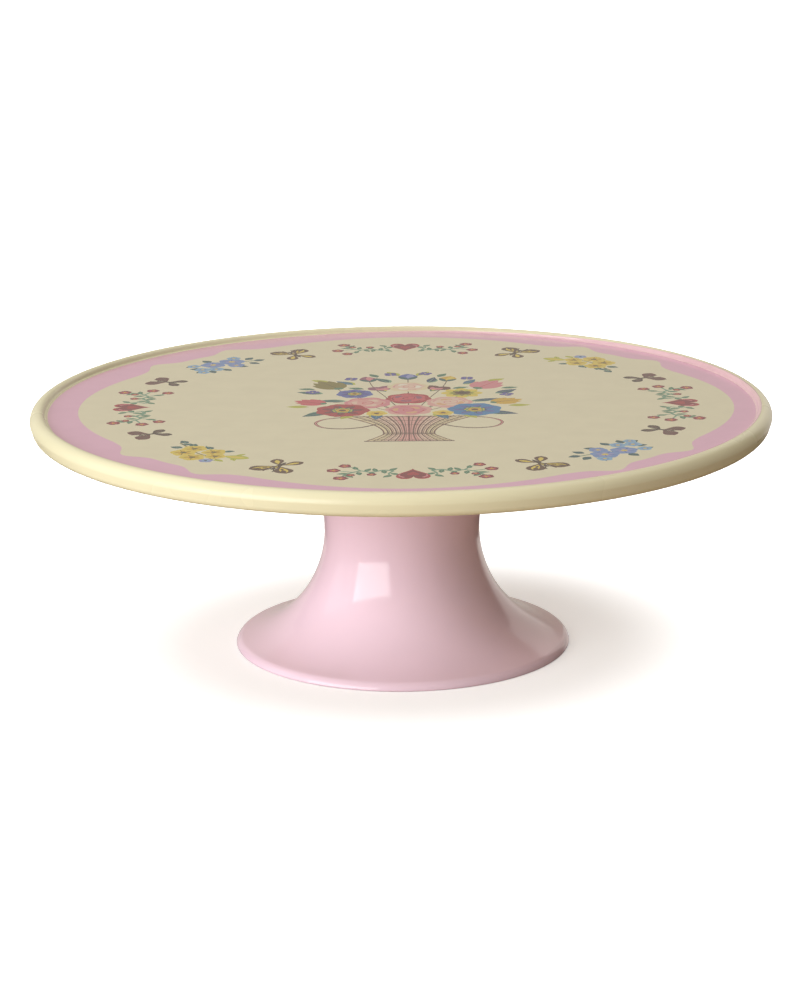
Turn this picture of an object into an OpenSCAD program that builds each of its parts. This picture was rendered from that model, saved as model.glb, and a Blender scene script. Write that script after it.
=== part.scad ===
// Cake stand: a plate that screws onto a hollow, waisted pedestal.
// Origin at the middle of the foot, +Z up, millimetres.

/* [Plate] */
// Outer diameter of the plate
plate_d = 300; // [260:1:340]
// Height of the rim's crest above the table
stand_h = 102; // [92:1:130]
// Height of the rim band, seen from the side
rim_h = 9.3; // [8.4:0.1:14]
// Depth of the flat well below the rim's crest
well_depth = 2.2; // [1.8:0.1:4]
// Thickness of the plate's floor, without the printed sheet
floor_t = 3.2; // [2.4:0.1:3.6]
// Thickness of the printed sheet
foil_t = 0.3; // [0.2:0.05:0.5]

/* [Pedestal] */
// Diameter of the foot
foot_d = 137.6; // [120:0.2:180]
// Smallest diameter of the neck
waist_d = 63.8; // [60:0.2:80]
// Height of the waist above the table
waist_z = 47.4; // [44:0.2:54]
// Radius of the neck's flare above the waist
flare_r = 110; // [90:1:200]
// Wall thickness
wall = 3.2; // [2.4:0.1:4]

/* [Thread] */
// Rise of the plate for one full turn
thread_pitch = 5; // [4:0.5:6]
// Outer diameter of the male thread
thread_d = 36; // [30:1:38]
// Radial play between the two threads
thread_play = 0.5; // [0.3:0.05:0.6]
// Turns of ridge on each half of the thread
thread_turns = 2; // [1:0.25:2]

/* [Hidden] */
$fn = 160;

// Rim section: crest and outer wall
plate_r = plate_d / 2;
crest_r = 4.3;         // outer rounding of the crest
crest_in_r = 1.6;      // inner rounding of the crest
cove_r = 0.7;          // concave turn into the well
rim_taper = 0.65;      // inset of the rim's lower edge
rim_foot_r = 3.2;      // rounding of the lower edge
rim_wall = 6.5;        // width of the rim's underside
crest_x = plate_r - crest_r;
inner_wall_x = crest_x - crest_in_r;
rim_z = stand_h - rim_h;
well_z = stand_h - well_depth;
moulded_z = well_z - foil_t;
under_z = moulded_z - floor_t;
foil_r = inner_wall_x - cove_r - 0.6;

// Stack under the plate
washer_t = 1.5;
top_z = under_z - washer_t;     // pedestal's top face
ring_gap = 0.6;                 // locating ring to pedestal
ring_t = 2.6;
ring_h = 3;

// Pedestal section: one cubic curve from the foot to the waist, one arc above it
foot_r = foot_d / 2;
waist_r = waist_d / 2;
edge_r = 3.8;           // rounding over the foot's edge
edge_z = -0.15;         // height of that rounding's centre
corner_r = 0.6;         // small rounding where the edge meets the table
corner_angle = asin((corner_r - edge_z) / (edge_r - corner_r));
edge_x = foot_r - edge_r * cos(corner_angle);
corner_x = edge_x + (edge_r - corner_r) * cos(corner_angle);
start_angle = 13.5;     // slope of the foot where the curve starts
start_pull = 24.9;
waist_pull = 15.5;
curve_steps = 28;
foot_land = 2.4;        // flat under the foot, inside the edge's rounding
curve_start = [edge_x, edge_z] + edge_r * [sin(start_angle), cos(start_angle)];
curve_1 = curve_start + start_pull * [-cos(start_angle), sin(start_angle)];
curve_2 = [waist_r, waist_z - waist_pull];
curve_end = [waist_r, waist_z];

function bezier(t) =
    pow(1 - t, 3) * curve_start
    + 3 * pow(1 - t, 2) * t * curve_1
    + 3 * (1 - t) * pow(t, 2) * curve_2
    + pow(t, 3) * curve_end;
function bezier_slope(t) =
    3 * pow(1 - t, 2) * (curve_1 - curve_start)
    + 6 * (1 - t) * t * (curve_2 - curve_1)
    + 3 * pow(t, 2) * (curve_end - curve_2);
function inward(t) =
    let (d = bezier_slope(t)) [-d[1], d[0]] / norm(d);
flare_steps = 12;
function flare_x(z) = waist_r + flare_r - sqrt(pow(flare_r, 2) - pow(z - waist_z, 2));

// Web that closes the pedestal's top, with a closed cup that holds the socket
web_t = 3.5;
recess_h = 6;
recess_r = 30;
recess_floor_z = top_z - recess_h;
web_z = recess_floor_z - web_t;
cup_t = 3;

// Threaded pair
thread_r = thread_d / 2;
ridge_h = 2;                        // radial height of a ridge
root_r = thread_r - ridge_h;
bore_r = thread_r + thread_play;
ridge_root_w = 2.4;                 // width of a ridge where it starts
ridge_crest_w = 1.4;
ridge_sides = 24;                   // sections in each turn
fade_angle = 45;                    // each end of a ridge runs out over this angle
socket_wall = 2.3;
socket_base_t = 1.8;
flange_t = 2.5;
plug_flange_r = 28;
plug_flange_t = 2.8;
plug_wall = 3;
plug_h = 17;
tip_play = 2;
socket_top_z = recess_floor_z + flange_t;
plug_tip_z = under_z - plug_h;
socket_floor_z = plug_tip_z - tip_play;
socket_bottom_z = socket_floor_z - socket_base_t;
glue_gap = 0.5;                     // under the socket's bottom
cup_floor_z = socket_bottom_z - glue_gap;
male_start_z = plug_tip_z + ridge_root_w / 2 + 0.4;
female_start_z = male_start_z - thread_pitch / 2;
EPS = 0.01;

// One helical ridge: from radius r_in to r_out, fading in and out.
// grow = 1 for a ridge on a shaft, -1 for a ridge in a bore.
module ridge(base_r, grow, z0) {
    steps = ridge_sides * thread_turns;
    embed = 0.6;
    function fade(a) = min(1, a / fade_angle, (thread_turns * 360 - a) / fade_angle);
    points = [
        for (i = [0 : steps])
        let (a = i * 360 / ridge_sides)
        let (z = z0 + thread_pitch * a / 360)
        let (h = max(0.02, ridge_h * fade(a)))
        for (p = [
            [base_r - grow * embed, -ridge_root_w / 2],
            [base_r - grow * embed, ridge_root_w / 2],
            [base_r + grow * h, ridge_crest_w / 2],
            [base_r + grow * h, -ridge_crest_w / 2]
        ])
        [p[0] * cos(a), p[0] * sin(a), z + p[1]]
    ];
    sides = [
        for (i = [0 : steps - 1])
        for (k = [0 : 3])
        let (a = 4 * i + k)
        let (b = 4 * i + (k + 1) % 4)
        for (tri = [[a + 4, b + 4, a], [b + 4, b, a]])
        grow > 0 ? tri : [tri[2], tri[1], tri[0]]
    ];
    last = 4 * steps;
    caps = [[0, 1, 2, 3], [last + 3, last + 2, last + 1, last]];
    turned = [for (c = caps) grow > 0 ? c : [c[3], c[2], c[1], c[0]]];
    polyhedron(points = points, faces = concat(sides, turned), convexity = 10);
}

// Right half of the plate's section, rim to the right
module plate_section() {
    difference() {
        union() {
            // floor and rim block
            translate([0, under_z]) square([crest_x, moulded_z - under_z]);
            translate([inner_wall_x, stand_h - crest_r]) square([crest_in_r, crest_r - crest_in_r]);
            intersection() {
                translate([crest_x, stand_h - crest_r]) circle(crest_r);
                translate([crest_x, stand_h - crest_r]) square(crest_r);
            }
            translate([crest_x, stand_h - crest_in_r]) circle(crest_in_r);
            // outer wall down to the lower edge
            polygon([
                [plate_r - rim_wall, stand_h - crest_r],
                [plate_r, stand_h - crest_r],
                [plate_r - rim_taper, rim_z + rim_foot_r],
                [plate_r - rim_taper - rim_foot_r, rim_z],
                [plate_r - rim_wall, rim_z]
            ]);
            translate([plate_r - rim_taper - rim_foot_r, rim_z + rim_foot_r]) circle(rim_foot_r);
            // well's edge at the printed sheet's level, then the cove
            translate([foil_r, under_z]) square([crest_x - foil_r, well_z - under_z]);
            translate([inner_wall_x - cove_r, well_z - EPS]) square([cove_r + EPS, cove_r + EPS]);
            // sloped web from the floor to the rim's underside
            polygon([
                [plate_r - rim_wall - 4, under_z + EPS],
                [plate_r - rim_wall + EPS, under_z + EPS],
                [plate_r - rim_wall + EPS, rim_z]
            ]);
        }
        translate([inner_wall_x - cove_r, well_z + cove_r]) circle(cove_r);
        // keep the well open above the cove
        translate([0, well_z + cove_r]) square([inner_wall_x, stand_h]);
    }
}

module plate() {
    color([0.96, 0.90, 0.69])
    union() {
        rotate_extrude() plate_section();
        // locating ring around the pedestal's top
        ring_r = flare_x(top_z) + ring_gap;
        translate([0, 0, under_z - ring_h])
        difference() {
            cylinder(r = ring_r + ring_t, h = ring_h + EPS);
            translate([0, 0, -1]) cylinder(r = ring_r, h = ring_h + 1);
        }
    }
}

module print_foil() {
    color([0.84, 0.66, 0.72])
    translate([0, 0, moulded_z]) cylinder(r = foil_r, h = foil_t);
}

module pedestal() {
    outer = concat(
        [[0, 0]],
        [for (i = [0 : 3])
            let (a = -90 + i * (corner_angle + 90) / 4)
            [corner_x + corner_r * cos(a), corner_r + corner_r * sin(a)]],
        [for (i = [0 : 8])
            let (a = corner_angle + i * (90 - start_angle - corner_angle) / 8)
            [edge_x + edge_r * cos(a), edge_z + edge_r * sin(a)]],
        [for (i = [1 : curve_steps]) bezier(i / curve_steps)],
        [for (i = [1 : flare_steps])
            let (z = waist_z + i * (top_z - waist_z) / flare_steps)
            [flare_x(z), z]],
        [[0, top_z]]
    );
    hollow_z = web_z;
    inner = concat(
        [[0, -1], [edge_x - foot_land, -1]],
        [for (i = [1 : curve_steps]) bezier(i / curve_steps) + wall * inward(i / curve_steps)],
        [for (i = [1 : flare_steps])
            let (z = waist_z + i * (hollow_z - waist_z) / flare_steps)
            [flare_x(z) - wall, z]],
        [[0, hollow_z]]
    );
    socket_r = bore_r + socket_wall;
    color([0.93, 0.76, 0.79])
    difference() {
        union() {
            difference() {
                rotate_extrude() polygon(outer);
                rotate_extrude() polygon(inner);
            }
            translate([0, 0, cup_floor_z - cup_t])
            cylinder(r = socket_r + cup_t, h = web_z - cup_floor_z + cup_t + 1);
        }
        translate([0, 0, recess_floor_z]) cylinder(r = recess_r, h = recess_h + 1);
        translate([0, 0, cup_floor_z]) cylinder(r = socket_r, h = recess_floor_z - cup_floor_z + 1);
    }
}

module thread_socket() {
    depth = socket_top_z - socket_floor_z;
    color([0.97, 0.96, 0.93])
    union() {
        difference() {
            union() {
                translate([0, 0, socket_bottom_z])
                cylinder(r = bore_r + socket_wall, h = depth + socket_base_t);
                translate([0, 0, recess_floor_z]) cylinder(r = recess_r, h = flange_t);
            }
            translate([0, 0, socket_floor_z]) cylinder(r = bore_r, h = depth + 1);
        }
        ridge(bore_r, -1, female_start_z);
    }
}

module neck_washer() {
    color([0.88, 0.88, 0.86])
    translate([0, 0, top_z])
    difference() {
        cylinder(r = flare_x(top_z) - 1.2, h = washer_t);
        translate([0, 0, -1]) cylinder(r = recess_r + 1, h = washer_t + 2);
    }
}

module thread_plug() {
    color([0.97, 0.96, 0.93])
    union() {
        difference() {
            union() {
                translate([0, 0, under_z - plug_flange_t])
                cylinder(r = plug_flange_r, h = plug_flange_t);
                translate([0, 0, plug_tip_z]) cylinder(r = root_r, h = plug_h);
            }
            translate([0, 0, plug_tip_z - 1])
            cylinder(r = root_r - plug_wall, h = plug_h - plug_flange_t + 1);
        }
        ridge(root_r, 1, male_start_z);
    }
}

pedestal();
thread_socket();
neck_washer();
thread_plug();
plate();
print_foil();
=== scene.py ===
"""Looks of the cake stand: glossy cream plate, printed decoration, pink pedestal, and its screw fitting.

Lengths in the artwork and the sections are millimetres and are turned into metres as each mesh is made.
"""
import math
import random

import bpy
import numpy as np
from mathutils import Matrix, Vector, geometry

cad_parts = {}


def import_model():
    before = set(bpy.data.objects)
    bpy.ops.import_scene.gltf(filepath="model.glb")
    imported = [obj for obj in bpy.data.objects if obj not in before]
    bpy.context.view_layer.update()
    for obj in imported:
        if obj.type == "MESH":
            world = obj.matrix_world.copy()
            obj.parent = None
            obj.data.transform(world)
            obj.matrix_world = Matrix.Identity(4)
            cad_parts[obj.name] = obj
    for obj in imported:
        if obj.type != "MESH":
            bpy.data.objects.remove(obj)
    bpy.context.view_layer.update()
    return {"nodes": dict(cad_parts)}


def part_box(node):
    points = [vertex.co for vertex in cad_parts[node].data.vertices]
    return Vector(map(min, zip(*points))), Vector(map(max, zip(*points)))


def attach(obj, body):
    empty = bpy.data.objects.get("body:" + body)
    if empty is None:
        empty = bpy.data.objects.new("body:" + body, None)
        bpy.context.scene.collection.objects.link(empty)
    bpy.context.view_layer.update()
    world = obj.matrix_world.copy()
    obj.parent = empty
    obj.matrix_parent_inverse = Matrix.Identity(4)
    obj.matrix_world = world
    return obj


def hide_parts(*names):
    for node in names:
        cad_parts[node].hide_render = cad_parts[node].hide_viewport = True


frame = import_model()

MM = 0.001
TURN = 2 * math.pi


# ---------------------------------------------------------------- dimensions, from the frame

def high(node):
    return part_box(node)[1] / MM


def low(node):
    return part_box(node)[0] / MM


PLATE_R = high("plate").x
RIM_TOP = high("plate").z
RIM_BOTTOM = low("plate").z
WELL_Z = high("print_foil").z
FOIL_Z = low("print_foil").z
UNDER_Z = high("thread_plug").z
PED_TOP = high("pedestal").z
FOOT_R = high("pedestal").x

CREST_R = 4.3          # outer rounding of the rim's crest
CREST_IN_R = 1.6       # inner rounding of the crest
COVE_R = 0.7           # concave turn into the well
RIM_TAPER = 0.65       # how far the rim's outer wall leans in towards its lower edge
RIM_FOOT_R = 3.2       # rounding of the rim's lower edge
RIM_WALL = 6.5         # width of the rim's underside
SKIRT_R = 0.8          # rounding of the rim's inner lower edge
UNDER_R = 1.2          # rounding where the underside meets the rim
UNDER_IN = 4.6         # distance of that rounding's centre inside the rim's underside
CREST_X = PLATE_R - CREST_R
WALL_X = CREST_X - CREST_IN_R
FLAT_R = WALL_X - COVE_R            # the well is flat up to here

WAIST_R = 31.9
WAIST_Z = 47.4
FLARE_R = 110.0
WALL = 3.2
SEGMENTS = 288         # sides of every lathed piece
SHARP_ANGLE = 40       # edges steeper than this stay sharp, in degrees


# ---------------------------------------------------------------- mesh helpers

def arc(cx, cz, r, start, end, steps):
    """Points of a circular arc in a section, angles in degrees, both ends included."""
    angles = [math.radians(start + (end - start) * i / steps) for i in range(steps + 1)]
    return [(cx + r * math.cos(a), cz + r * math.sin(a)) for a in angles]


def lathe(name, section):
    """Closed solid of revolution about Z from a closed section [(r, z), ...] in millimetres."""
    points = [p for i, p in enumerate(section) if math.dist(p, section[i - 1]) > 1e-4]
    verts, rings = [], []
    for r, z in points:
        if r < 1e-6:
            rings.append([len(verts)] * SEGMENTS)
            verts.append((0, 0, z * MM))
            continue
        rings.append(list(range(len(verts), len(verts) + SEGMENTS)))
        verts += [
            (r * MM * math.cos(TURN * k / SEGMENTS), r * MM * math.sin(TURN * k / SEGMENTS), z * MM)
            for k in range(SEGMENTS)
        ]
    faces = []
    for ring, after in zip(rings, rings[1:] + rings[:1]):
        for k in range(SEGMENTS):
            n = (k + 1) % SEGMENTS
            face = list(dict.fromkeys([ring[k], after[k], after[n], ring[n]]))
            if len(face) > 2:
                faces.append(face)
    return mesh_object(name, verts, faces, SHARP_ANGLE)


def mesh_object(name, verts, faces, sharp=None):
    mesh = bpy.data.meshes.new(name)
    mesh.from_pydata(verts, [], faces)
    mesh.validate()
    if sharp is not None:
        for polygon in mesh.polygons:
            polygon.use_smooth = True
        mesh.set_sharp_from_angle(angle=math.radians(sharp))
    obj = bpy.data.objects.new(name, mesh)
    bpy.context.scene.collection.objects.link(obj)
    return obj


# ---------------------------------------------------------------- materials

def linear(code):
    """A colour written as on screen, #RRGGBB, as the linear values that shaders use."""
    parts = [int(code[i:i + 2], 16) / 255 for i in (1, 3, 5)]
    return tuple(c / 12.92 if c <= 0.04045 else ((c + 0.055) / 1.055) ** 2.4 for c in parts) + (1.0,)


def new_material(name):
    material = bpy.data.materials.new(name)
    material.use_nodes = True
    nodes = material.node_tree.nodes
    return material, nodes, material.node_tree.links, nodes["Principled BSDF"]


def add_noise(nodes, links, scale, detail):
    place = nodes.new("ShaderNodeTexCoord")
    noise = nodes.new("ShaderNodeTexNoise")
    noise.inputs["Scale"].default_value = scale
    noise.inputs["Detail"].default_value = detail
    noise.inputs["Roughness"].default_value = 0.5
    links.new(place.outputs["Object"], noise.inputs["Vector"])
    return noise


def add_range(nodes, links, source, low_value, high_value):
    """Spreads the middle part of a noise, 0.3 to 0.7, over low_value to high_value."""
    ramp = nodes.new("ShaderNodeMapRange")
    ramp.inputs["From Min"].default_value = 0.3
    ramp.inputs["From Max"].default_value = 0.7
    ramp.inputs["To Min"].default_value = low_value
    ramp.inputs["To Max"].default_value = high_value
    links.new(source, ramp.inputs["Value"])
    return ramp.outputs["Result"]


def tint(nodes, links, colour, source, spread):
    """colour, made up to spread lighter or darker by source."""
    scale = add_range(nodes, links, source, 1 - spread, 1 + spread)
    mix = nodes.new("ShaderNodeMix")
    mix.data_type = "RGBA"
    mix.blend_type = "MULTIPLY"
    mix.inputs["Factor"].default_value = 1.0
    if isinstance(colour, tuple):
        mix.inputs["A"].default_value = colour
    else:
        links.new(colour, mix.inputs["A"])
    links.new(scale, mix.inputs["B"])
    return mix.outputs["Result"]


def moulded_gloss(name, colour, rough=0.11, spread=0.012, peel=0.00001, gloss=0.5):
    """Pressed melamine: even colour with a faint cloudiness, high gloss and a very slight orange peel."""
    material, nodes, links, shader = new_material(name)
    cloud = add_noise(nodes, links, 14, 3)
    links.new(tint(nodes, links, colour, cloud.outputs["Fac"], spread), shader.inputs["Base Color"])
    handling = add_noise(nodes, links, 25, 2)
    shine = add_range(nodes, links, handling.outputs["Fac"], rough - 0.008, rough + 0.012)
    links.new(shine, shader.inputs["Roughness"])
    skin = add_noise(nodes, links, 90, 1)
    bump = nodes.new("ShaderNodeBump")
    bump.inputs["Strength"].default_value = 0.25
    bump.inputs["Distance"].default_value = peel
    links.new(skin.outputs["Fac"], bump.inputs["Height"])
    links.new(bump.outputs["Normal"], shader.inputs["Normal"])
    shader.inputs["IOR"].default_value = 1.5
    shader.inputs["Specular IOR Level"].default_value = gloss
    return material


CREAM = "#EAE6C4"
PINK_BODY = "#FBE0F1"


# ---------------------------------------------------------------- moulded pieces

def plate_section():
    foot_x = PLATE_R - RIM_TAPER - RIM_FOOT_R
    skirt_x = PLATE_R - RIM_WALL
    return (
        [(0, FOIL_Z), (FLAT_R - 0.05, FOIL_Z), (FLAT_R - 0.05, WELL_Z)]
        + arc(FLAT_R, WELL_Z + COVE_R, COVE_R, -90, 0, 6)
        + arc(CREST_X, RIM_TOP - CREST_IN_R, CREST_IN_R, 180, 90, 8)
        + arc(CREST_X, RIM_TOP - CREST_R, CREST_R, 90, 0, 16)
        + arc(foot_x, RIM_BOTTOM + RIM_FOOT_R, RIM_FOOT_R, 0, -90, 8)
        + arc(skirt_x + SKIRT_R, RIM_BOTTOM + SKIRT_R, SKIRT_R, -90, -150, 4)
        + arc(skirt_x - UNDER_IN, UNDER_Z - UNDER_R, UNDER_R, 40, 90, 4)
        + locating_ring()
        + [(0, UNDER_Z)]
    )


def flare_x(z):
    return WAIST_R + FLARE_R - math.sqrt(FLARE_R ** 2 - (z - WAIST_Z) ** 2)


RING_GAP = 0.6         # between the locating ring and the pedestal's top
RING_T = 2.6
RING_H = 3.0


def locating_ring():
    inner = flare_x(PED_TOP) + RING_GAP
    outer = inner + RING_T
    bottom = UNDER_Z - RING_H
    return (
        [(outer + 0.8, UNDER_Z), (outer, UNDER_Z - 0.8)]
        + arc(outer - 0.8, bottom + 0.8, 0.8, 0, -90, 4)
        + arc(inner + 0.6, bottom + 0.6, 0.6, -90, -180, 4)
        + [(inner, UNDER_Z)]
    )


START_ANGLE = 13.5     # slope of the foot where its curve starts, in degrees
EDGE_R = 3.8           # rounding over the foot's edge
EDGE_Z = -0.15         # height of that rounding's centre
CORNER_R = 0.6         # small rounding where the edge meets the table
CORNER_ANGLE = math.degrees(math.asin((CORNER_R - EDGE_Z) / (EDGE_R - CORNER_R)))
EDGE_X = FOOT_R - EDGE_R * math.cos(math.radians(CORNER_ANGLE))
CORNER_X = EDGE_X + (EDGE_R - CORNER_R) * math.cos(math.radians(CORNER_ANGLE))
FOOT_LAND = 2.4        # flat under the foot, inside the edge's rounding
FOOT_PULL = 24.9       # reach of the cubic's handle at the foot's edge
WAIST_PULL = 15.5      # and of its handle at the waist
CURVE_STEPS = 48
FLARE_STEPS = 22
RECESS_R = 30.0        # recess in the pedestal's top
RECESS_H = 6.0
WEB_T = 3.5            # thickness of the web that carries the socket
WEB_R = 2.0            # rounding under the web
SOCKET_R = 20.8
CUP_T = 3.0            # wall and floor of the closed cup round the socket
CUP_FLOOR_Z = low("thread_socket").z - 0.5


def foot_curve():
    """Control points of the cubic curve from the foot's edge to the waist."""
    a = math.radians(START_ANGLE)
    start = Vector((EDGE_X, EDGE_Z)) + EDGE_R * Vector((math.sin(a), math.cos(a)))
    pull = start + FOOT_PULL * Vector((-math.cos(a), math.sin(a)))
    return start, pull, Vector((WAIST_R, WAIST_Z - WAIST_PULL)), Vector((WAIST_R, WAIST_Z))


def curve_point(t, inset):
    a, b, c, d = foot_curve()
    point = (1 - t) ** 3 * a + 3 * (1 - t) ** 2 * t * b + 3 * (1 - t) * t * t * c + t ** 3 * d
    slope = (1 - t) ** 2 * (b - a) + 2 * (1 - t) * t * (c - b) + t * t * (d - c)
    point += Vector((-slope.y, slope.x)).normalized() * inset
    return point.x, point.y


def pedestal_section():
    web_z = PED_TOP - RECESS_H - WEB_T
    outer_curve = [curve_point(i / CURVE_STEPS, 0) for i in range(CURVE_STEPS + 1)]
    inner_curve = [curve_point(i / CURVE_STEPS, WALL) for i in range(CURVE_STEPS + 1)]
    rise = [WAIST_Z + i * (PED_TOP - 1.0 - WAIST_Z) / FLARE_STEPS for i in range(1, FLARE_STEPS + 1)]
    inner_rise = [WAIST_Z + i * (web_z - WEB_R - WAIST_Z) / FLARE_STEPS for i in range(1, FLARE_STEPS + 1)]
    land_x = EDGE_X - FOOT_LAND
    top_x = flare_x(PED_TOP)
    return (
        [(land_x, 0.4), (land_x + 0.4, 0)]
        + arc(CORNER_X, CORNER_R, CORNER_R, -90, CORNER_ANGLE, 5)
        + arc(EDGE_X, EDGE_Z, EDGE_R, CORNER_ANGLE, 90 - START_ANGLE, 14)
        + outer_curve
        + [(flare_x(z), z) for z in rise]
        + [(top_x - 0.6, PED_TOP), (RECESS_R + 0.4, PED_TOP), (RECESS_R, PED_TOP - 0.4)]
        + [(RECESS_R, PED_TOP - RECESS_H), (SOCKET_R, PED_TOP - RECESS_H), (SOCKET_R, CUP_FLOOR_Z)]
        + [(0, CUP_FLOOR_Z), (0, CUP_FLOOR_Z - CUP_T), (SOCKET_R + CUP_T, CUP_FLOOR_Z - CUP_T)]
        + [(SOCKET_R + CUP_T, web_z)]
        + arc(flare_x(web_z) - WALL - WEB_R, web_z - WEB_R, WEB_R, 90, 0, 5)
        + [(flare_x(z) - WALL, z) for z in reversed(inner_rise)]
        + [p for p in reversed(inner_curve) if p[1] > 1.4 and p[0] < land_x - 0.3]
    )


# ---------------------------------------------------------------- the printed decoration
#
# A motif is a list of layers, lowest first. A layer is a colour name and a closed outline [(x, y), ...].

INK = {
    # lap: the band's printed pink made lighter and peachier, a painted sheen for where the sheet laps up the
    # rim's inner face
    "cream": "#E4DFC1", "pink": "#E6B8D2", "lap": "#EDC9CE", "white": "#EBE7D7",
    "straw": "#E1D4AD", "blush": "#E2C6B2", "shell": "#DCA69F", "peach": "#DBAC84",
    "rose": "#D48891", "coral": "#C95C66", "red": "#AA363F", "wine": "#842D39",
    "maroon": "#673635", "brown": "#5C402D", "bark": "#664E44", "umber": "#3D2B1E",
    "gold": "#D1AA37", "yellow": "#DDC754", "lime": "#B8BE4D", "olive": "#827937", "moss": "#696532",
    "green": "#518064", "mint": "#789F86", "teal": "#285D60", "navy": "#234669", "slate": "#2C6791",
    "blue": "#3B80B6", "iris": "#5A6AAD", "cornflower": "#7594C8", "sky": "#87B2D0",
    "lilac": "#9299C8", "violet": "#564A98", "mauve": "#91566E",
}
rng = random.Random(7)


def moved(motif, at=(0, 0), turn=0.0, size=1.0, flip=False):
    """The motif scaled, mirrored, turned anticlockwise by turn degrees, then moved."""
    c, s = math.cos(math.radians(turn)) * size, math.sin(math.radians(turn)) * size
    sign = -1 if flip else 1
    return [
        (ink, [(at[0] + c * sign * x - s * y, at[1] + s * sign * x + c * y) for x, y in outline])
        for ink, outline in motif
    ]


def around(motif, count, start=0.0, sweep=360.0):
    return [layer for i in range(count) for layer in moved(motif, turn=start + sweep * i / count)]


def oval(ink, rx, ry, at=(0, 0), steps=20):
    return [(ink, [
        (at[0] + rx * math.cos(TURN * i / steps), at[1] + ry * math.sin(TURN * i / steps))
        for i in range(steps)
    ])]


def petal(ink, length, width, tip=0.5, steps=9):
    """A petal from the origin along +Y; tip above 0.5 moves its widest part outwards."""
    power = math.log(0.5) / math.log(tip)
    side = []
    for i in range(steps + 1):
        t = i / steps
        side.append((0.5 * width * math.sin(math.pi * t ** power) ** 0.75, t * length))
    return [(ink, side + [(-x, y) for x, y in reversed(side[1:-1])])]


def leaf(ink, vein, length, width, bend=0.0):
    """A pointed leaf along +Y, bent sideways, with a midrib."""
    steps = 8
    mid = [(bend * (i / steps) ** 2, length * i / steps) for i in range(steps + 1)]
    half = [0.5 * width * math.sin(math.pi * (i / steps) ** 0.85) for i in range(steps + 1)]
    blade = [(x + h, y) for (x, y), h in zip(mid, half)]
    blade += [(x - h, y) for (x, y), h in list(zip(mid, half))[-2:0:-1]]
    return [(ink, blade)] + stroke(vein, mid[:-1], width * 0.07, width * 0.02)


def between(p, q, r, s, t):
    """One coordinate of a Catmull-Rom curve, at the share t of the way from q to r."""
    return 0.5 * (
        2 * q + (r - p) * t + (2 * p - 5 * q + 4 * r - s) * t * t + (3 * q - p - 3 * r + s) * t ** 3
    )


def smooth(points, per=5):
    """Catmull-Rom curve through points."""
    ends = [points[0]] + list(points) + [points[-1]]
    out = []
    for a, b, c, d in zip(ends, ends[1:], ends[2:], ends[3:]):
        for i in range(per):
            t = i / per
            out.append(tuple(between(p, q, r, s, t) for p, q, r, s in zip(a, b, c, d)))
    return out + [tuple(points[-1])]


def stroke(ink, points, start_half, end_half=None):
    """A brush stroke along points, its half-width going from start_half to end_half."""
    end_half = start_half if end_half is None else end_half
    left, right = [], []
    last = len(points) - 1
    for i, (x, y) in enumerate(points):
        ax, ay = points[max(i - 1, 0)]
        bx, by = points[min(i + 1, last)]
        run = math.hypot(bx - ax, by - ay) or 1
        half = start_half + (end_half - start_half) * i / last
        nx, ny = -(by - ay) / run * half, (bx - ax) / run * half
        left.append((x + nx, y + ny))
        right.append((x - nx, y - ny))
    return [(ink, left + right[::-1])]


def stem(ink, points, start_half=0.4, end_half=0.25):
    return stroke(ink, smooth(points), start_half, end_half)


def ruffle(ink, radius, lobes, depth, steps=48, phase=0.0):
    """A round outline with lobes."""
    return [(ink, [
        (r * math.cos(a), r * math.sin(a))
        for a in (TURN * i / steps for i in range(steps))
        for r in [radius * (1 - depth + depth * abs(math.cos(lobes * a / 2 + phase)) ** 0.7)]
    ])]


# ---- small motifs of the ring

def blossom(outer, inner, eye, r=2.7, petals=5):
    """A small flower with round petals."""
    return (
        around(petal(outer, r, r * 0.98, 0.62, 6), petals)
        + around(petal(inner, r * 0.62, r * 0.36, 0.6, 4), petals)
        + oval(eye, r * 0.24, r * 0.24, steps=8)
    )


def heart(width=12.6, height=15.5):
    """A heart with a lighter glint; its point is down, at -Y."""
    outline = []
    for i in range(36):
        a = TURN * i / 36
        x = 16 * math.sin(a) ** 3
        y = 13 * math.cos(a) - 5 * math.cos(2 * a) - 2 * math.cos(3 * a) - math.cos(4 * a)
        outline.append((x * width / 32, (y + 2.5) * height / 29))
    inside = [(x * 0.84, y * 0.84) for x, y in outline]
    glints = [
        stroke("rose", smooth([(side * 5.0, 1.2), (side * 4.9, 3.4), (side * 3.3, 5.3)]), 0.2, 0.55)[0]
        for side in (-1, 1)
    ]
    small = [(x * 0.36, y * 0.36 - 0.6) for x, y in outline]
    return [("red", outline), ("wine", inside), ("red", small)] + glints


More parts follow.
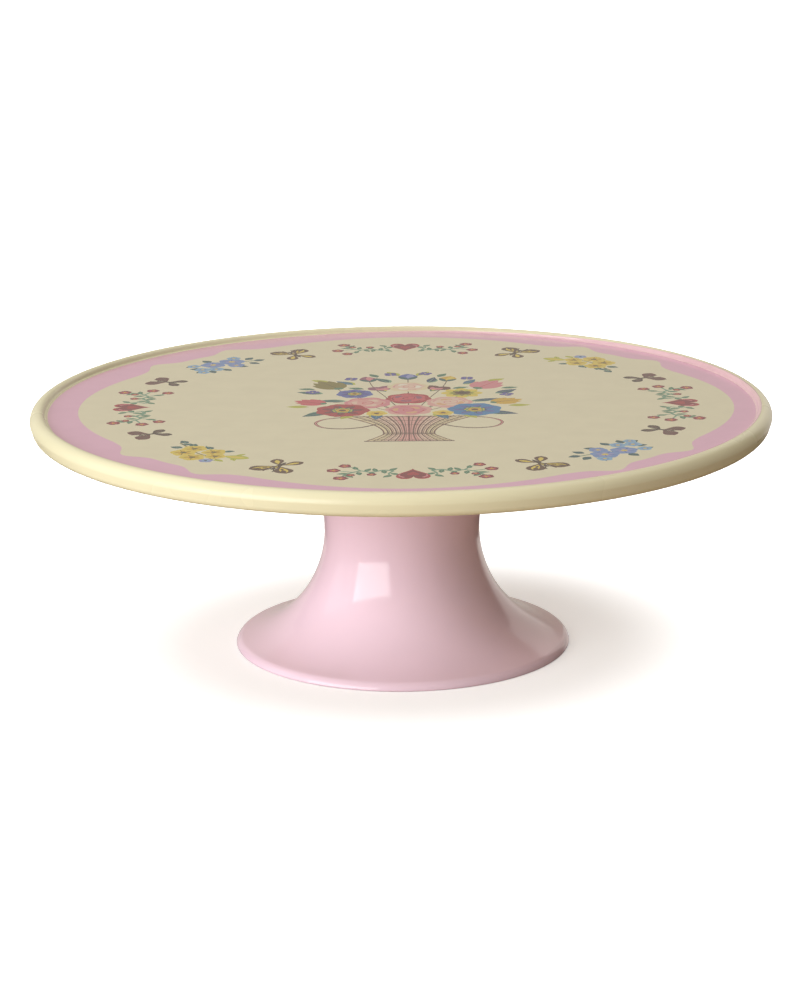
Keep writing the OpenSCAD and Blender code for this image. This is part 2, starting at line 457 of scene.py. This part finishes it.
def tendril(sign):
    """The vine on one side of the heart, with its leaves and red flowers."""
    vine = [(7.4, -4.5), (11.6, -5.2), (15.8, -2.0), (20.0, -3.2), (24.2, 1.5), (25.1, 6.0)]
    lower = [(20.0, -3.2), (23.2, -7.0), (26.5, -9.0)]
    side = [(22.3, -1.0), (26.0, -1.6), (29.3, -2.0)]
    curl = [(7.4, -4.5), (9.0, -0.5), (8.3, 2.6)]
    motif = stem("mint", vine, 0.75, 0.5) + stem("mint", lower, 0.5) + stem("mint", side, 0.5)
    motif += stem("mint", curl, 0.6)
    leaves = [
        ((8.5, -1.0), 60), ((8.0, 1.6), -30), ((8.9, -4.9), 150), ((11.6, -5.0), 20), ((14.0, -3.4), -155),
        ((16.3, -2.2), 30), ((18.1, -2.8), 170), ((20.9, -1.6), 25), ((21.9, -5.0), -150), ((23.8, 0.8), -60),
        ((24.7, 3.6), 55), ((25.1, -7.8), -120),
    ]
    for at, turn in leaves:
        motif += moved(leaf("green", "mint", 4.8, 2.4, 0.5), at, turn)
    flowers = [
        ((25.3, 8.3), 2.9), ((27.9, -9.6), 2.8), ((30.5, -2.2), 2.9), ((22.7, 3.2), 1.8), ((15.3, 1.4), 2.0),
    ]
    for at, r in flowers:
        motif += moved(blossom("wine", "coral", "gold", r), at, rng.uniform(0, 72))
    return moved(motif, flip=sign < 0)


def garland():
    return tendril(1) + tendril(-1) + heart()


def butterfly(wing, patch, lower, body="umber"):
    """A butterfly with its head at +Y."""
    motif = []
    for flip in (False, True):
        upper = moved(petal(wing, 11.4, 7.4, 0.66), (0.5, 0.5), -38)
        upper += moved(petal(patch, 8.0, 3.2, 0.62), (1.7, 2.0), -40)
        upper += moved(oval(wing, 0.9, 1.7), (5.4, 7.0), -40) + moved(oval(wing, 0.6, 1.2), (3.6, 4.6), -40)
        tail = moved(petal(lower, 10.0, 5.6, 0.66), (0.4, -0.6), -143)
        tail += moved(petal(patch, 6.2, 2.1, 0.6), (1.6, -2.2), -143)
        motif += moved(tail + upper + stem(body, [(0.3, 5.0), (1.6, 7.6), (1.9, 9.3)], 0.18, 0.3), flip=flip)
    motif += oval(body, 1.0, 5.6) + oval(patch, 0.4, 1.2, (0, 2.2), 8) + oval(body, 1.1, 1.1, (0, 5.2), 10)
    return motif


def yellow_spray():
    motif = stem("olive", [(-22, -5), (-15, -4.0), (-6, -1), (4, 0), (12, -4), (22, -7)], 0.5, 0.35)
    motif += stem("green", [(-8, -2), (-6, -8), (-10, -11)]) + stem("green", [(4, 0), (9, 3), (13, 4)])
    for at, turn, size in [
        ((-20, -7), 105, 0.9), ((-16, -8), 60, 0.8), ((-13, -5), 150, 0.9),
        ((-3, -9), 110, 0.9), ((-14, -1), 70, 0.9), ((4, -10), -120, 0.8),
    ]:
        motif += moved(leaf("teal", "mint", 6.8, 4.4, 0.8), at, turn, size)
    for at, turn, size in [((11, 2), -70, 0.9), ((14, -8), -150, 0.8), ((16, -4), -40, 0.8)]:
        motif += moved(leaf("lime", "olive", 6.4, 3.4, 0.8), at, turn, size)
    motif += moved(petal("lime", 13, 6.8, 0.55), (10, -4.4), -103)
    motif += moved(petal("yellow", 10, 3.0, 0.55), (11, -4.6), -103)
    for at, r in [
        ((-9.4, -4.2), 6.0), ((-7.4, 3.4), 6.0), ((1.2, 6.0), 5.8), ((1.8, -6.2), 5.8), ((7.6, -1.6), 5.0),
    ]:
        motif += moved(blossom("yellow", "gold", "moss", r), at, rng.uniform(0, 72))
        motif += moved(around(petal("olive", r * 0.8, r * 0.09, 0.7, 3), 5, 36), at, 0)
    return motif + moved(blossom("lilac", "sky", "navy", 3.2), (9.6, 6.4))


def blue_spray():
    motif = stem("green", [(-21, -3), (-12, -2), (-2, 1), (9, -2), (20, -4)], 0.45, 0.3)
    motif += stem("green", [(-12, -2), (-13, 5)]) + stem("green", [(5, 0), (9, 7), (12, 8)])
    for at, turn in [
        ((-17, -3), 110), ((-15, 1), 75), ((-13, -5), 165), ((-12, 5), 30), ((10, 7), -60), ((13, 1), -40),
        ((13, -5), -140), ((6, -7), -165), ((16, -4), -70), ((-3, -7), 150), ((1, 8), 10),
    ]:
        motif += moved(leaf("teal", "navy", 6.2, 4.2, 0.7), at, turn)
    for at, r in [((-7.4, 2.0), 6.8), ((3.4, 3.2), 6.4), ((-4.0, -5.4), 4.6)]:
        motif += moved(blossom("cornflower", "lilac", "yellow", r), at, rng.uniform(0, 72))
        motif += moved(around(petal("iris", r * 0.8, r * 0.09, 0.7, 3), 5, 36), at)
    for at, r in [
        ((-12.5, 7.4), 3.6), ((11.6, 8.0), 3.4), ((9.0, -4.6), 4.2), ((14.4, -0.4), 4.2), ((18.4, -4.6), 3.2),
    ]:
        motif += moved(blossom("sky", "cornflower", "yellow", r), at, rng.uniform(0, 72))
    return motif


# ---- the basket of flowers in the middle

def basket():
    """A waisted basket: staves that pinch in at the waist, seven hoops and two looped handles."""
    def half_width(y):
        if y < -50:
            return 9.8 + 7.2 * ((-50 - y) / 11.7) ** 1.25
        return 9.8 + 17.5 * ((y + 50) / 30) ** 2.1

    levels = [-61.7 + i * 41.7 / 24 for i in range(25)]
    wall = [(half_width(y), y) for y in levels]
    motif = [("straw", wall + [(-x, y) for x, y in reversed(wall)])]
    for share, ink in [(0.62, "blush"), (0.28, "shell")]:
        shade = [(share * x, y) for x, y in wall]
        motif += [(ink, shade + [(-x, y) for x, y in reversed(shade)])]
    for k in range(-6, 7):
        line = [(k / 6 * x, y) for x, y in wall]
        motif += stroke("bark" if k % 2 else "maroon", line, 0.24, 0.4)
        if -6 < k < 6:
            motif += stroke("brown", [(x + 0.07 * half_width(y), y) for x, y in line], 0.08, 0.16)
    for y, half in [
        (-61.7, 0.6), (-59.2, 0.25), (-50, 0.6), (-47.9, 0.25), (-35, 0.25), (-27, 0.25), (-20.4, 0.5),
    ]:
        w = half_width(y) + 0.5
        hoop = [(w * i / 8, y + 0.9 * (1 - (i / 8) ** 2) * (-1 if y > -30 else 0)) for i in range(-8, 9)]
        motif += stroke("bark", hoop, half)
    for flip in (False, True):
        bends = [(25, -21.5), (33, -24.5), (37, -31), (34, -38.5), (26, -41), (18.5, -38.6), (13, -34)]
        loop = smooth(bends, 6)
        twist = stroke("bark", loop, 0.6, 0.6)
        twist += stroke("wine", loop[8:18], 0.7, 0.4) + stroke("shell", loop[4:20], 0.2, 0.2)
        motif += moved(twist, flip=flip)
    return motif


def anemone(outer, inner, r=12.0):
    """An open flower with a dark ring and a gold eye."""
    motif = around(petal(outer, r, r * 0.9, 0.64), 7)
    motif += around(petal(inner, r * 0.8, r * 0.3, 0.66, 5), 7, 8)
    motif += around(petal("teal", r * 0.7, r * 0.05, 0.6, 4), 7)
    motif += around(petal("navy", r * 0.46, r * 0.2, 0.6, 5), 9) + ruffle("lime", r * 0.38, 9, 0.25)
    motif += ruffle("green", r * 0.31, 9, 0.2) + oval("gold", r * 0.25, r * 0.25)
    return motif + oval("brown", r * 0.13, r * 0.13)


def rose(outer, mid, dark, light, r=12.0):
    """A full rose: ruffled outer petals, curled inner ones and a spiral heart."""
    motif = ruffle(outer, r, 7, 0.13) + moved(ruffle(mid, r * 0.8, 6, 0.16, phase=0.5), (0.3, 0.6))
    curl = stroke(dark, arc(0, 0, r * 0.66, 62, 118, 8), r * 0.015, r * 0.035)
    for turn in (10, 130, 250):
        motif += moved(petal(light, r * 0.66, r * 0.5, 0.7), (0, 0.4), turn)
        motif += moved(curl, (0, 0.4), turn + 40)
    motif += moved(ruffle(mid, r * 0.42, 5, 0.16), (0.2, 0.8))
    spiral = [
        (r * (0.06 + 0.036 * i) * math.cos(0.75 * i), r * (0.06 + 0.036 * i) * math.sin(0.75 * i) + 0.8)
        for i in range(11)
    ]
    return motif + stroke(dark, smooth(spiral, 2), r * 0.03, r * 0.015)


def tulip(ink, vein):
    """A tulip of five pointed petals, along +Y."""
    motif = []
    for turn, length in [(-30, 14), (30, 14), (-14, 17), (14, 17), (0, 19)]:
        motif += moved(petal(ink, length, 7.0, 0.45), turn=turn)
        motif += moved(stroke(vein, [(0, 1.5), (0, length * 0.5), (0, length * 0.85)], 0.35, 0.1), turn=turn)
    return motif + oval("green", 2.4, 1.8, (0, 0.8))


def daisy(r=9.6):
    motif = around(petal("yellow", r, r * 0.56, 0.68), 8)
    motif += around(petal("lime", r * 0.82, r * 0.2, 0.6, 4), 8, 22.5)
    motif += around(petal("olive", r * 0.6, r * 0.26, 0.6, 5), 8)
    return motif + oval("brown", r * 0.36, r * 0.3, (0.4, 0.6)) + oval("umber", r * 0.2, r * 0.14, (0.4, 0.8))


def bud(outer, inner, length=12.0, width=9.0):
    """A closed bud on a leafy cup, along +Y."""
    motif = petal(outer, length, width, 0.45)
    motif += moved(petal(inner, length * 0.86, width * 0.42, 0.5), (width * 0.12, 0.8))
    for turn in (34, -34):
        motif += moved(petal("teal", length * 0.66, width * 0.34, 0.5), (0, -0.3), turn)
    return motif


def sweet_pea(ink, light):
    motif = moved(petal(ink, 10, 7.2, 0.64), turn=28) + moved(petal(ink, 10, 7.2, 0.64), turn=-28)
    motif += moved(petal(light, 6.4, 2.6, 0.6), turn=24) + moved(petal(light, 6.4, 2.6, 0.6), turn=-24)
    return motif + petal(light, 5, 4, 0.6) + oval("yellow", 0.8, 1.0, (0, 0.6), 8)


def small_pansy():
    motif = around(petal("violet", 3.8, 3.6, 0.62, 6), 4, 45) + around(petal("iris", 2.4, 1.2, 0.6, 4), 4, 45)
    return motif + oval("yellow", 0.6, 0.6, steps=8)


def two_tone(ink, edge, length, width, bend=-1.4):
    """A dark leaf with a light lower edge."""
    under = moved(leaf(edge, edge, length * 0.96, width, bend * 1.5), (0.9, -0.4))
    return under + leaf(ink, "mint", length, width * 0.86, bend)


def bouquet():
    """The basket with a round bunch of garden flowers, lowest layers first."""
    motif = []
    for x, y in [
        (-40, 16), (-33, 40), (-18, 54), (0, 58), (18, 54), (33, 40), (40, 16), (-27, 28), (27, 28),
    ]:
        motif += stem("bark", [(x * 0.1, -12), (x * 0.5, y * 0.3), (x * 0.85, y * 0.7), (x, y)], 0.28, 0.22)
    for side, ink, light in [(1, "navy", "teal"), (-1, "teal", "navy")]:
        for edge, at, turn, length, width in [
            ("mint", (34, -8), -118, 15, 7), ("lime", (13, -10), -168, 13, 6), ("mint", (39, 27), -62, 12, 6),
            ("lime", (25, 45), -38, 11, 5), ("mint", (9, 49), -24, 11, 5), ("mint", (28, 12), -78, 14, 5),
        ]:
            at, turn = (side * at[0], at[1]), side * turn
            motif += moved(two_tone(ink if edge == "mint" else "slate", edge, length, width), at, turn)
        for at, turn in [((44, 2), -80), ((24, -13), -140), ((36, 50), -50), ((4, 63), -30)]:
            motif += moved(leaf("lime", "olive", 10, 4.6, side), (side * at[0], at[1]), side * turn)
        for at, turn in [((42, 36), -70), ((14, 60), -20), ((20, 36), -60), ((10, 31), -30)]:
            motif += moved(leaf("green", light, 8, 3.8, side), (side * at[0], at[1]), side * turn)
    motif += moved(tulip("olive", "moss"), (-31, 37), 32) + moved(tulip("rose", "coral"), (31, 36), -32)
    motif += moved(tulip("coral", "wine"), (-37, 8), 66, 0.8)
    motif += moved(tulip("gold", "brown"), (37, 8), -66, 0.8)
    motif += moved(bud("iris", "lilac"), (0, 55)) + moved(bud("mauve", "rose"), (-17, 51), 14, 0.9)
    motif += moved(bud("gold", "yellow"), (17, 51), -14, 0.9)
    for at in [(-26, 57), (27, 57), (-43, 31), (44, 24), (-8, 66), (8, 67)]:
        motif += moved(small_pansy(), at, rng.uniform(0, 90), 0.9)
    motif += moved(sweet_pea("mauve", "rose"), (-10, 33), 24)
    motif += moved(sweet_pea("maroon", "rose"), (11, 33), -24)
    motif += moved(anemone("iris", "violet", 8.6), (-24, 27)) + moved(daisy(), (24, 27))
    motif += moved(rose("straw", "blush", "rose", "white", 9.6), (0, 40), 20)
    motif += moved(rose("red", "coral", "wine", "mauve", 10.4), (0, 17), 40)
    motif += moved(rose("rose", "shell", "coral", "blush", 10.6), (-18, 9), 75)
    motif += moved(rose("shell", "blush", "rose", "peach", 10.6), (18, 9), 5)
    motif += moved(anemone("red", "wine", 12.4), (-29, -5), 12)
    motif += moved(anemone("blue", "iris", 12.4), (29, -5), -20)
    motif += moved(rose("shell", "rose", "coral", "peach", 10.6), (0, -5), 70)
    for at in [(-14, -11), (15, -11)]:
        motif += moved(blossom("yellow", "gold", "brown", 5.0), at, rng.uniform(0, 72))
    return basket() + moved(motif, (0, -5), size=0.92)


# ---- placing everything on the disc

DECAL_SHIFT = (2.1, -0.7)    # the printed sheet lies a little off centre in the plate
RING_R = 111.2
BASKET_AT = (1.0, 1.0)
BUTTERFLY_TURN = 26.2        # from the front and back hearts to their butterflies, in degrees
SIDE_TURN = 24.6             # from the side hearts to theirs
FRONT_HEART_TURN = 1.1       # the front heart and the butterfly right of it sit a little further round
FRONT_BUTTERFLY_TURN = 1.0
FIELD_R = 127.5              # the cream field's edge where it has no lobe or peak
LOBE_H, LOBE_HALF = 5.2, 27  # height in millimetres and half width in degrees of the lobe at each heart
PEAK_H, PEAK_AT, PEAK_W = 6.6, 36, 3.4
VALLEY_H, VALLEY_W = 1.2, 4.0


def on_ring(motif, degrees, size=1.0):
    """Bends a motif along the ring: its +Y points outwards, its +X runs anticlockwise."""
    bent = []
    for ink, outline in motif:
        polar = [(math.radians(degrees) + size * x / RING_R, RING_R + size * y) for x, y in outline]
        bent.append((ink, [(r * math.cos(a), r * math.sin(a)) for a, r in polar]))
    return bent


def field_radius(degrees):
    """Edge of the cream field: a broad lobe at each heart and a pair of small peaks between."""
    off = abs((degrees + 45) % 90 - 45)
    lobe = LOBE_H * math.cos(math.pi / 2 * off / LOBE_HALF) if off < LOBE_HALF else 0
    peak = PEAK_H * math.exp(-((off - PEAK_AT) / PEAK_W) ** 2)
    valley = VALLEY_H * math.exp(-((off - 45) / VALLEY_W) ** 2)
    return FIELD_R + lobe + peak + valley


def decoration():
    steps = 360
    field = [
        (r * math.cos(math.radians(degrees)), r * math.sin(math.radians(degrees)))
        for degrees, r in ((i, field_radius(i)) for i in range(steps))
    ]
    layers = [("cream", field)]
    bright = moved(butterfly("brown", "yellow", "brown"), (0, -2.5))
    dark = moved(butterfly("maroon", "bark", "umber"), (0, -1.5))
    for k in range(4):
        middle = 90 * k - 90
        front = k == 0
        layers += on_ring(garland(), middle + (FRONT_HEART_TURN if front else 0))
        if k % 2 == 0:
            layers += on_ring(bright, middle - BUTTERFLY_TURN)
            layers += on_ring(bright, middle + BUTTERFLY_TURN + (FRONT_BUTTERFLY_TURN if front else 0))
        else:
            layers += on_ring(dark, middle - SIDE_TURN, 0.82)
            layers += on_ring(dark, middle + SIDE_TURN, 0.82)
        layers += on_ring(yellow_spray() if k % 2 else blue_spray(), middle + 45, 0.88)
    layers += moved(bouquet(), BASKET_AT)
    return moved(layers, DECAL_SHIFT)


def partition(layers, rim):
    """Cuts the disc inside rim into triangles, each with the ink of the topmost layer that covers it."""
    verts, edges = [], []
    for outline in [rim] + [outline for ink, outline in layers]:
        first, count = len(verts), len(outline)
        edges += [(first + i, first + (i + 1) % count) for i in range(count)]
        verts += [Vector(p) for p in outline]
    points, _, faces, _, _, _ = geometry.delaunay_2d_cdt(verts, edges, [], 0, 1e-3, False)
    xy = np.array([tuple(p) for p in points])
    middles = xy[np.array([list(f) for f in faces])].mean(axis=1)
    inks = np.zeros(len(faces), int)
    for number, (ink, outline) in enumerate(layers, 1):
        shape = np.array(outline)
        near = np.nonzero(((middles > shape.min(0)) & (middles < shape.max(0))).all(axis=1))[0]
        inks[near[covered(middles[near], shape)]] = number
    names = [BASE_INK] + [ink for ink, outline in layers]
    return points, faces, [names[i] for i in inks]


def covered(points, outline):
    """Which points a closed outline goes round, by winding number, so that a stroke may cross itself."""
    winding = np.zeros(len(points), int)
    for (ax, ay), (bx, by) in zip(outline, np.roll(outline, -1, axis=0)):
        left = (bx - ax) * (points[:, 1] - ay) - (points[:, 0] - ax) * (by - ay)
        winding += (ay <= points[:, 1]) & (by > points[:, 1]) & (left > 0)
        winding -= (ay > points[:, 1]) & (by <= points[:, 1]) & (left < 0)
    return winding != 0


BASE_INK = "cream"
PRINT_R = FLAT_R - 0.05
SHEET_R = 144.7              # radius of the printed sheet, which laps up the rim where it lies off centre
LAP_LIFT = 0.03


def sheet_edge(a):
    """Distance of the printed sheet's edge from the plate's axis, at the angle a."""
    return SHEET_R + DECAL_SHIFT[0] * math.cos(a) + DECAL_SHIFT[1] * math.sin(a)


def band():
    """The pink band's outer edge, as far as it lies in the flat of the well."""
    edge = [(min(sheet_edge(TURN * i / 360), PRINT_R), TURN * i / 360) for i in range(360)]
    return [("pink", [(r * math.cos(a), r * math.sin(a)) for r, a in edge])]


def up_the_rim(along, lift):
    """Radius and height of the point of the rim's inner face at a distance along it from the flat well."""
    turn = min(along / COVE_R, math.pi / 2)
    r, z = FLAT_R + (COVE_R - lift) * math.sin(turn), WELL_Z + COVE_R - (COVE_R - lift) * math.cos(turn)
    rest = along - COVE_R * math.pi / 2
    if rest <= 0:
        return r, z
    turn = rest / CREST_IN_R
    lifted = CREST_IN_R + lift
    return CREST_X - lifted * math.cos(turn), RIM_TOP - CREST_IN_R + lifted * math.sin(turn)


def lap(verts, faces):
    """Adds the strip of the printed sheet that laps up the rim's inner face, as a closed skin."""
    across = 8
    angles = [TURN * i / 360 for i in range(-180, 180) if sheet_edge(TURN * i / 360) - PRINT_R > 0.1]
    ring = 2 * (across + 1)
    first = len(verts)
    for a in angles:
        reach = sheet_edge(a) - PRINT_R
        section = [up_the_rim(reach * i / across, LAP_LIFT) for i in range(across + 1)]
        section += [up_the_rim(reach * i / across, -LAP_LIFT) for i in range(across, -1, -1)]
        verts += [(r * math.cos(a) * MM, r * math.sin(a) * MM, z * MM) for r, z in section]
    for k in range(len(angles) - 1):
        at = first + k * ring
        faces += [
            [at + i, at + (i + 1) % ring, at + ring + (i + 1) % ring, at + ring + i] for i in range(ring)
        ]
    last = first + (len(angles) - 1) * ring
    faces += [list(range(first + ring - 1, first - 1, -1)), list(range(last, last + ring))]


def printed_top():
    """The printed sheet as one thin closed solid, with one colour per region of its top."""
    steps = 360
    rim = [(PRINT_R * math.cos(TURN * i / steps), PRINT_R * math.sin(TURN * i / steps)) for i in range(steps)]
    points, faces, inks = partition(band() + decoration(), rim)
    count = len(points)
    verts = [(p.x * MM, p.y * MM, WELL_Z * MM) for p in points]
    verts += [(p.x * MM, p.y * MM, FOIL_Z * MM) for p in points]
    top = [list(f) for f in faces]
    bottom = [[i + count for i in reversed(f)] for f in faces]
    used = {(a, b) for f in top for a, b in zip(f, f[1:] + f[:1])}
    side = [[b, a, a + count, b + count] for a, b in used if (b, a) not in used]
    strip = []
    lap(verts, strip)
    obj = mesh_object("printed_top", verts, top + bottom + side + strip)
    paint = obj.data.color_attributes.new("ink", "FLOAT_COLOR", "CORNER")
    # the lapping strip is the band's printed pink with a painted sheen mixed into its colour
    plain = [linear(INK["cream"])] * (len(bottom) + len(side)) + [linear(INK["lap"])] * len(strip)
    colours = [linear(INK[ink]) for ink in inks] + plain
    for polygon, colour in zip(obj.data.polygons, colours):
        polygon.use_smooth = polygon.index >= len(colours) - len(strip)
        for corner in polygon.loop_indices:
            paint.data[corner].color = colour
    return obj


def printed_gloss():
    """The decoration under its clear melamine glaze: inks with a slight brushed unevenness."""
    material, nodes, links, shader = new_material("printed_melamine")
    ink = nodes.new("ShaderNodeAttribute")
    ink.attribute_name = "ink"
    brush = add_noise(nodes, links, 90, 3)
    inked = tint(nodes, links, ink.outputs["Color"], brush.outputs["Fac"], 0.02)
    links.new(inked, shader.inputs["Base Color"])
    handling = add_noise(nodes, links, 25, 2)
    links.new(add_range(nodes, links, handling.outputs["Fac"], 0.11, 0.13), shader.inputs["Roughness"])
    shader.inputs["IOR"].default_value = 1.5
    return material


# ---------------------------------------------------------------- assembly

def assign(obj, material):
    obj.data.materials.clear()
    obj.data.materials.append(material)
    return obj


cream_gloss = moulded_gloss("cream_melamine", linear(CREAM), rough=0.27, gloss=0.38)
pink_gloss = moulded_gloss("pink_melamine", linear(PINK_BODY), gloss=0.42)

plate = assign(lathe("plate_moulding", plate_section()), cream_gloss)
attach(plate, "top")
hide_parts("plate")

decal = assign(printed_top(), printed_gloss())
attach(decal, "top")
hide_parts("print_foil")

pedestal = assign(lathe("pedestal_moulding", pedestal_section()), pink_gloss)
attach(pedestal, "base")
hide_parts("pedestal")

thread_plastic = moulded_gloss("thread_plastic", linear("#F1EEE4"), rough=0.38)
silicone = moulded_gloss("silicone", linear("#DAD9D3"), rough=0.5)
for node, material in [
    ("thread_plug", thread_plastic), ("thread_socket", thread_plastic), ("neck_washer", silicone),
]:
    for slot in frame["nodes"][node].material_slots:
        slot.link = "OBJECT"
        slot.material = material


# ---------------------------------------------------------------- floor, light and camera

def matte(name, colour):
    material, _, _, shader = new_material(name)
    shader.inputs["Base Color"].default_value = (*colour, 1)
    shader.inputs["Roughness"].default_value = 0.9
    shader.inputs["Specular IOR Level"].default_value = 0.1
    return material, shader


def floor():
    """A pale floor for the camera, and just below it a warm table top, which only throws light back."""
    corners = [(-30, -30), (30, -30), (30, 30), (-30, 30)]
    pale = mesh_object("floor", [(x, y, 0) for x, y in corners], [(0, 1, 2, 3)])
    material, shader = matte("floor", (0.90, 0.92, 0.95))
    shader.inputs["Emission Color"].default_value = (1, 1, 1, 1)
    shader.inputs["Emission Strength"].default_value = 0.4
    assign(pale, material)
    table = mesh_object("table", [(x, y, -0.001) for x, y in corners], [(0, 1, 2, 3)])
    assign(table, matte("table", (0.58, 0.44, 0.32))[0])
    pale.visible_diffuse = pale.visible_glossy = pale.visible_shadow = False
    table.visible_camera = table.visible_glossy = False
    return pale


def place_light(name, data, at, aim):
    light = bpy.data.objects.new(name, data)
    light.location = at
    light.rotation_euler = (Vector(aim) - Vector(at)).to_track_quat("-Z", "Y").to_euler()
    bpy.context.scene.collection.objects.link(light)
    return light


def floor_light(pale, strength):
    """Whitens the pale floor alone, so that the stand keeps its own light and shade."""
    data = bpy.data.lights.new("floor_wash", "SUN")
    data.energy = strength
    data.angle = math.radians(70)
    light = place_light("floor_wash", data, (0, 0, 3), (0, 0, 0))
    only = bpy.data.collections.new("floor_only")
    only.objects.link(pale)
    light.light_linking.receiver_collection = only


def toward(azimuth, elevation):
    """Direction from the stand, azimuth 0 in front and 90 to the left, in degrees."""
    a, e = math.radians(azimuth), math.radians(elevation)
    return Vector((-math.sin(a) * math.cos(e), -math.cos(a) * math.cos(e), math.sin(e)))


def softbox(name, azimuth, elevation, distance, width, height, radiance, colour=(1, 1, 1)):
    """An area light that faces the stand."""
    aim = Vector((0, 0, 0.06))
    data = bpy.data.lights.new(name, "AREA")
    data.shape = "RECTANGLE"
    data.size, data.size_y = width, height
    data.energy = radiance * width * height * math.pi
    data.color = colour
    return place_light(name, data, aim + distance * toward(azimuth, elevation), aim)


def world(glows):
    """A dark room with soft glows, each (azimuth, elevation, focus, colour)."""
    room = bpy.data.worlds.new("room")
    room.use_nodes = True
    nodes, links = room.node_tree.nodes, room.node_tree.links
    way = nodes.new("ShaderNodeTexCoord")
    total = None
    for azimuth, elevation, focus, colour in glows:
        facing = nodes.new("ShaderNodeVectorMath")
        facing.operation = "DOT_PRODUCT"
        facing.inputs[1].default_value = toward(azimuth, elevation)
        links.new(way.outputs["Generated"], facing.inputs[0])
        front = nodes.new("ShaderNodeClamp")
        links.new(facing.outputs["Value"], front.inputs["Value"])
        narrow = nodes.new("ShaderNodeMath")
        narrow.operation = "POWER"
        links.new(front.outputs["Result"], narrow.inputs[0])
        narrow.inputs[1].default_value = focus
        glow = nodes.new("ShaderNodeVectorMath")
        glow.operation = "SCALE"
        glow.inputs[0].default_value = colour
        links.new(narrow.outputs["Value"], glow.inputs["Scale"])
        if total is None:
            total = glow.outputs["Vector"]
        else:
            add = nodes.new("ShaderNodeVectorMath")
            links.new(total, add.inputs[0])
            links.new(glow.outputs["Vector"], add.inputs[1])
            total = add.outputs["Vector"]
    links.new(total, nodes["Background"].inputs["Color"])
    bpy.context.scene.world = room


def camera():
    """The photographed view: 15 degrees down onto the front of the stand."""
    pitch, roll, distance = math.radians(15.04), math.radians(-0.505), 1.2387
    target = Vector((-0.0007, 0, 0.0597))
    forward = Vector((0, math.cos(pitch), -math.sin(pitch)))
    up = Vector((0, math.sin(pitch), math.cos(pitch)))
    right = Vector((1, 0, 0))
    x_axis = math.cos(roll) * right + math.sin(roll) * up
    y_axis = -math.sin(roll) * right + math.cos(roll) * up
    data = bpy.data.cameras.new("camera")
    data.sensor_width = 36
    data.lens = 108.85
    data.clip_end = 100
    obj = bpy.data.objects.new("camera", data)
    turned = Matrix((x_axis, y_axis, -forward)).transposed().to_4x4()
    obj.matrix_world = Matrix.Translation(target - distance * forward) @ turned
    bpy.context.scene.collection.objects.link(obj)
    bpy.context.scene.camera = obj


floor_light(floor(), 4.5)
world([
    (0, 90, 3, (0.98, 0.84, 0.67)),
    (-90, 10, 4, (0.31, 0.32, 0.35)),
])
softbox("key_front_left", 42, 14.5, 1.5, 1.3, 0.9, 5.4)
softbox("window_left", 85, 18, 1.6, 1.2, 1.2, 0.90, (0.96, 1, 1.06))
softbox("backdrop", 180, 9.5, 1.66, 2.6, 1.68, 0.52, (1, 0.91, 0.80))
softbox("backdrop_right", -151, 9.5, 1.85, 0.85, 1.68, 0.42)
softbox("back_high", 180, 62, 1.6, 2.4, 0.9, 0.75, (0.95, 1, 1.05))
camera()
bpy.context.scene.view_settings.view_transform = "Standard"
